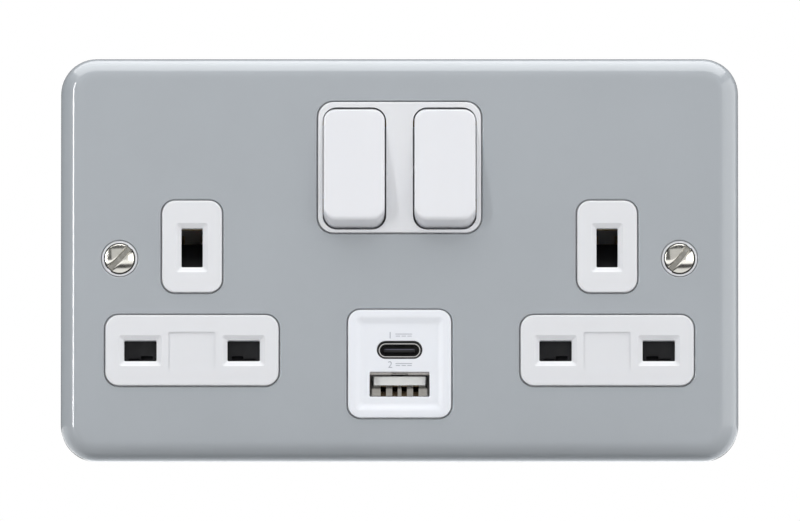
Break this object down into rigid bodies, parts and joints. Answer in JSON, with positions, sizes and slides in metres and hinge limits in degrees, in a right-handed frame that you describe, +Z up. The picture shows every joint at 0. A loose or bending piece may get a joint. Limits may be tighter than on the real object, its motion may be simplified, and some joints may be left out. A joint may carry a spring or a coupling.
{
  "type": "usb wall socket",
  "caption": "Double switched wall socket for flat three-pin plugs with a painted metal plate, rocker switches and USB-C and USB-A ports.",
  "frame": {"origin": "middle of the fixing pattern on the wall's surface, the plane of the plate's rear rim", "axes": "+X right as seen from the room, +Z up, +Y into the wall"},
  "size_m": [0.146, 0.0302, 0.0868],
  "materials": {
    "plate_paint": "satin",
    "white_moulding": "gloss",
    "white_rocker": "gloss",
    "white_usb": "satin",
    "screw_nickel": "polished",
    "screw_zinc": "satin",
    "spring_steel": "bright",
    "port_steel": "bright",
    "port_black": "matte",
    "port_white": "matte",
    "contact_gold": "bright",
    "board_green": "solder mask",
    "ferrite": "matte",
    "capacitor_sleeve": "sleeve",
    "rear_plastic": "satin",
    "white_nylon": "satin",
    "black_shutter": "satin",
    "brass": "rolled"
  },
  "bodies": {
    "socket": {"front_plate": "plate_paint", "front_moulding": "white_moulding", "fixing_screw_left": "screw_nickel", "fixing_screw_right": "screw_nickel", "shutter_spring_left": "spring_steel", "shutter_spring_right": "spring_steel", "line_contact_right": "brass", "neutral_contact_left": "brass", "neutral_contact_right": "brass", "line_contact_left": "brass", "line_busbar": "brass", "neutral_busbar": "brass", "earth_strap": "brass", "line_terminal": "brass", "neutral_terminal": "brass", "earth_terminal_left": "brass", "earth_terminal_right": "brass", "terminal_screws": "screw_zinc", "usb_bezel": "white_usb", "usb_c_shell": "port_steel", "usb_c_insulator": "port_black", "usb_a_shell": "port_steel", "usb_a_insulator": "port_white", "usb_a_contacts": "contact_gold", "usb_circuit_board": "board_green", "usb_transformer": "ferrite", "usb_capacitor": "capacitor_sleeve", "rear_housing": "rear_plastic", "plate_screws": "screw_zinc", "housing_screws": "screw_zinc"},
    "rocker_left": {"rocker_left": "white_rocker", "plunger_spring_left_outer": "spring_steel", "plunger_spring_left_inner": "spring_steel"},
    "switch_plunger_left_outer": {"switch_plunger_left_outer": "white_nylon"},
    "switch_arm_left_outer": {"switch_arm_left_outer": "brass"},
    "switch_plunger_left_inner": {"switch_plunger_left_inner": "white_nylon"},
    "switch_arm_left_inner": {"switch_arm_left_inner": "brass"},
    "shutter_left": {"shutter_left": "black_shutter"},
    "rocker_right": {"rocker_right": "white_rocker", "plunger_spring_right_outer": "spring_steel", "plunger_spring_right_inner": "spring_steel"},
    "switch_plunger_right_outer": {"switch_plunger_right_outer": "white_nylon"},
    "switch_arm_right_outer": {"switch_arm_right_outer": "brass"},
    "switch_plunger_right_inner": {"switch_plunger_right_inner": "white_nylon"},
    "switch_arm_right_inner": {"switch_arm_right_inner": "brass"},
    "shutter_right": {"shutter_right": "black_shutter"}
  },
  "joints": [
    {"name": "rocker_left_tilt", "type": "hinge", "parent": "socket", "child": "rocker_left", "pos_m": [-0.0098, -0.006, 0.01945], "axis": [1, 0, 0], "range_deg": [0, 20]},
    {"name": "plunger_left_outer_slide", "type": "slide", "parent": "rocker_left", "child": "switch_plunger_left_outer", "axis": [0, -0.9848, 0.1736], "range_m": [0, 0.0008], "stiffness_N_per_m": 200, "springref_m": -0.002, "deforming": ["plunger_spring_left_outer"]},
    {"name": "arm_left_outer_rock", "type": "hinge", "parent": "socket", "child": "switch_arm_left_outer", "pos_m": [-0.013, 0.00365, 0.01945], "axis": [1, 0, 0], "range_deg": [-16, 0]},
    {"name": "plunger_left_inner_slide", "type": "slide", "parent": "rocker_left", "child": "switch_plunger_left_inner", "axis": [0, -0.9848, 0.1736], "range_m": [0, 0.0008], "stiffness_N_per_m": 200, "springref_m": -0.002, "deforming": ["plunger_spring_left_inner"]},
    {"name": "arm_left_inner_rock", "type": "hinge", "parent": "socket", "child": "switch_arm_left_inner", "pos_m": [-0.0066, 0.00365, 0.01945], "axis": [1, 0, 0], "range_deg": [-16, 0]},
    {"name": "shutter_left_slide", "type": "slide", "parent": "socket", "child": "shutter_left", "axis": [0, 0, -1], "range_m": [0, 0.0056], "stiffness_N_per_m": 60, "springref_m": -0.004, "deforming": ["shutter_spring_left"]},
    {"name": "rocker_right_tilt", "type": "hinge", "parent": "socket", "child": "rocker_right", "pos_m": [0.0098, -0.006, 0.01945], "axis": [1, 0, 0], "range_deg": [0, 20]},
    {"name": "plunger_right_outer_slide", "type": "slide", "parent": "rocker_right", "child": "switch_plunger_right_outer", "axis": [0, -0.9848, 0.1736], "range_m": [0, 0.0008], "stiffness_N_per_m": 200, "springref_m": -0.002, "deforming": ["plunger_spring_right_outer"]},
    {"name": "arm_right_outer_rock", "type": "hinge", "parent": "socket", "child": "switch_arm_right_outer", "pos_m": [0.013, 0.00365, 0.01945], "axis": [1, 0, 0], "range_deg": [-16, 0]},
    {"name": "plunger_right_inner_slide", "type": "slide", "parent": "rocker_right", "child": "switch_plunger_right_inner", "axis": [0, -0.9848, 0.1736], "range_m": [0, 0.0008], "stiffness_N_per_m": 200, "springref_m": -0.002, "deforming": ["plunger_spring_right_inner"]},
    {"name": "arm_right_inner_rock", "type": "hinge", "parent": "socket", "child": "switch_arm_right_inner", "pos_m": [0.0066, 0.00365, 0.01945], "axis": [1, 0, 0], "range_deg": [-16, 0]},
    {"name": "shutter_right_slide", "type": "slide", "parent": "socket", "child": "shutter_right", "axis": [0, 0, -1], "range_m": [0, 0.0056], "stiffness_N_per_m": 60, "springref_m": -0.004, "deforming": ["shutter_spring_right"]}
  ],
  "couplings": [
    {"joint": "arm_left_outer_rock", "follows": "rocker_left_tilt", "ratio": -0.8},
    {"joint": "arm_left_inner_rock", "follows": "rocker_left_tilt", "ratio": -0.8},
    {"joint": "arm_right_outer_rock", "follows": "rocker_right_tilt", "ratio": -0.8},
    {"joint": "arm_right_inner_rock", "follows": "rocker_right_tilt", "ratio": -0.8}
  ]
}
